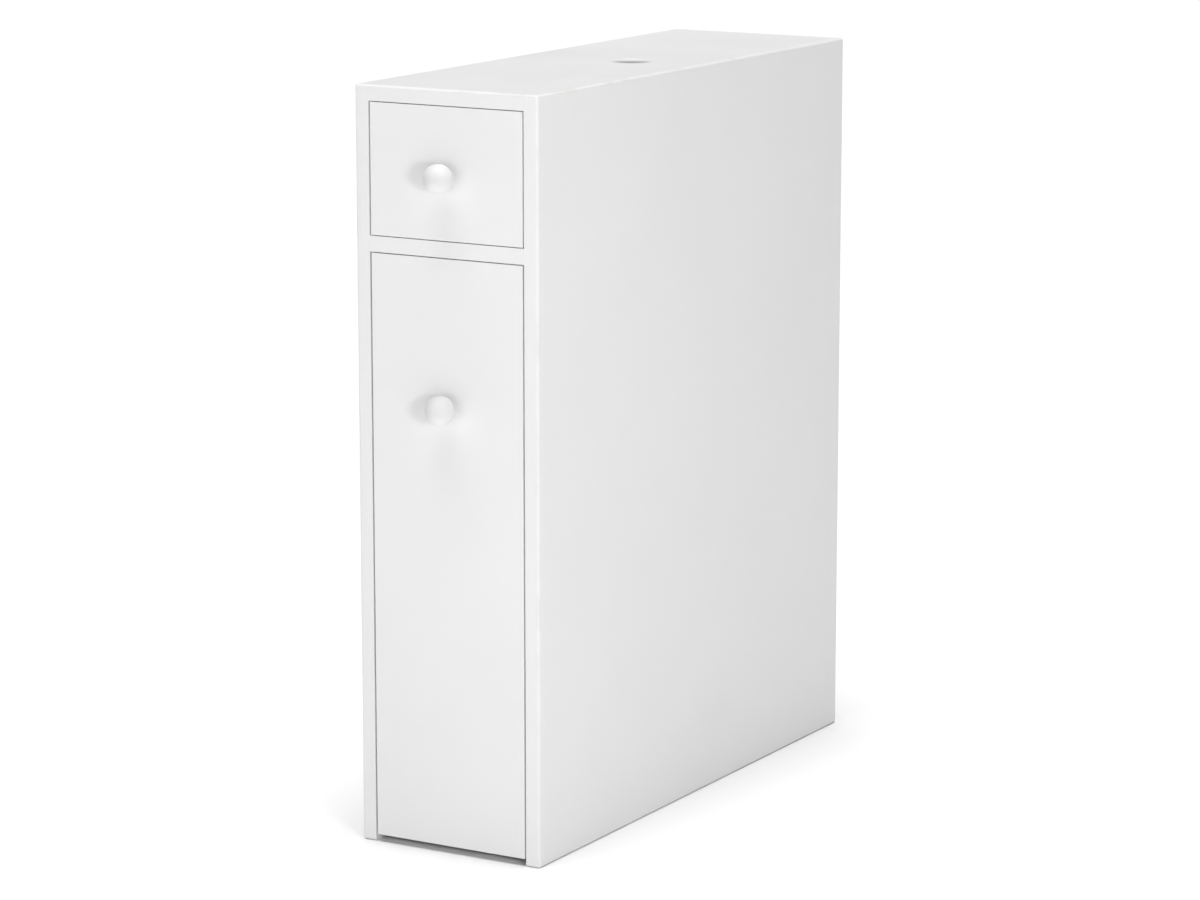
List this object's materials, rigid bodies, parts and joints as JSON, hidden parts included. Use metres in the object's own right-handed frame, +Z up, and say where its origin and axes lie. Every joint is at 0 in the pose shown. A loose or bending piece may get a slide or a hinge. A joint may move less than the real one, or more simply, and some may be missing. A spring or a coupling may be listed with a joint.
{
  "type": "slim bathroom floor cabinet",
  "caption": "Narrow free-standing bathroom cabinet with an inset top drawer, a tall inset pull-out on floor rollers, ball knobs and a small outlet hole in the top.",
  "frame": {"origin": "on the floor, at the middle of the footprint with the knobs included", "axes": "+Z up, the fronts and knobs face -Y, +X to the right as seen from the front"},
  "size_m": [0.158, 0.5096, 0.58],
  "materials": {
    "painted_board": "satin white paint on 12 mm MDF",
    "hardboard": "3 mm hardboard, painted white on both faces",
    "knob": "smooth white, semi-gloss",
    "white_plastic": "moulded white plastic",
    "screw_steel": "bright zinc-plated steel",
    "cast_zinc": "raw die-cast zinc",
    "beech": "bare beech with fine flutes",
    "bumper_rubber": "soft grey rubber",
    "bracket_steel": "pressed zinc-plated steel",
    "roller_nylon": "moulded nylon"
  },
  "bodies": {
    "carcass": {"left_side_panel": "painted_board", "right_side_panel": "painted_board", "top_panel": "painted_board", "mid_shelf": "painted_board", "rear_rail": "painted_board", "back_panel": "hardboard", "drawer_strip_left": "white_plastic", "drawer_strip_right": "white_plastic", "strip_screws": "screw_steel", "carcass_cam_bolts": "screw_steel", "carcass_cam_locks": "cast_zinc", "carcass_dowels": "beech", "back_panel_screws": "screw_steel"},
    "drawer": {"drawer_front": "painted_board", "drawer_side_left": "painted_board", "drawer_side_right": "painted_board", "drawer_back": "painted_board", "drawer_bottom": "hardboard", "drawer_knob": "knob", "drawer_knob_screw": "screw_steel", "drawer_cam_bolts": "screw_steel", "drawer_cam_locks": "cast_zinc", "drawer_dowels": "beech", "drawer_back_screws": "screw_steel", "drawer_bumpers": "bumper_rubber"},
    "pullout": {"pullout_front": "painted_board", "pullout_back": "painted_board", "pullout_bottom": "painted_board", "pullout_shelf": "painted_board", "lower_guard_left": "painted_board", "lower_guard_right": "painted_board", "upper_guard_left": "painted_board", "upper_guard_right": "painted_board", "pullout_knob": "knob", "pullout_knob_screw": "screw_steel", "pullout_cam_bolts": "screw_steel", "pullout_cam_locks": "cast_zinc", "pullout_dowels": "beech", "guard_dowels": "beech", "guard_screws": "screw_steel", "guide_pads": "white_plastic", "pullout_bumpers": "bumper_rubber", "bracket_front_left": "bracket_steel", "bracket_front_right": "bracket_steel", "bracket_rear_left": "bracket_steel", "bracket_rear_right": "bracket_steel", "axle_front_left": "bracket_steel", "axle_front_right": "bracket_steel", "axle_rear_left": "bracket_steel", "axle_rear_right": "bracket_steel", "bracket_screws": "screw_steel"},
    "wheel_front_left": {"roller_front_left": "roller_nylon"},
    "wheel_front_right": {"roller_front_right": "roller_nylon"},
    "wheel_rear_left": {"roller_rear_left": "roller_nylon"},
    "wheel_rear_right": {"roller_rear_right": "roller_nylon"}
  },
  "joints": [
    {"name": "drawer_slide", "type": "slide", "parent": "carcass", "child": "drawer", "axis": [0, -1, 0], "range_m": [0, 0.33]},
    {"name": "pullout_slide", "type": "slide", "parent": "carcass", "child": "pullout", "axis": [0, -1, 0], "range_m": [0, 0.4]},
    {"name": "front_left_roller_spin", "type": "hinge", "parent": "pullout", "child": "wheel_front_left", "pos_m": [-0.046, -0.17325, 0.013], "axis": [1, 0, 0], "continuous": true},
    {"name": "front_right_roller_spin", "type": "hinge", "parent": "pullout", "child": "wheel_front_right", "pos_m": [0.046, -0.17325, 0.013], "axis": [1, 0, 0], "continuous": true},
    {"name": "rear_left_roller_spin", "type": "hinge", "parent": "pullout", "child": "wheel_rear_left", "pos_m": [-0.046, 0.16845, 0.013], "axis": [1, 0, 0], "continuous": true},
    {"name": "rear_right_roller_spin", "type": "hinge", "parent": "pullout", "child": "wheel_rear_right", "pos_m": [0.046, 0.16845, 0.013], "axis": [1, 0, 0], "continuous": true}
  ],
  "couplings": [
    {"joint": "front_left_roller_spin", "follows": "pullout_slide", "rad_per_m": 76.923},
    {"joint": "front_right_roller_spin", "follows": "pullout_slide", "rad_per_m": 76.923},
    {"joint": "rear_left_roller_spin", "follows": "pullout_slide", "rad_per_m": 76.923},
    {"joint": "rear_right_roller_spin", "follows": "pullout_slide", "rad_per_m": 76.923}
  ]
}
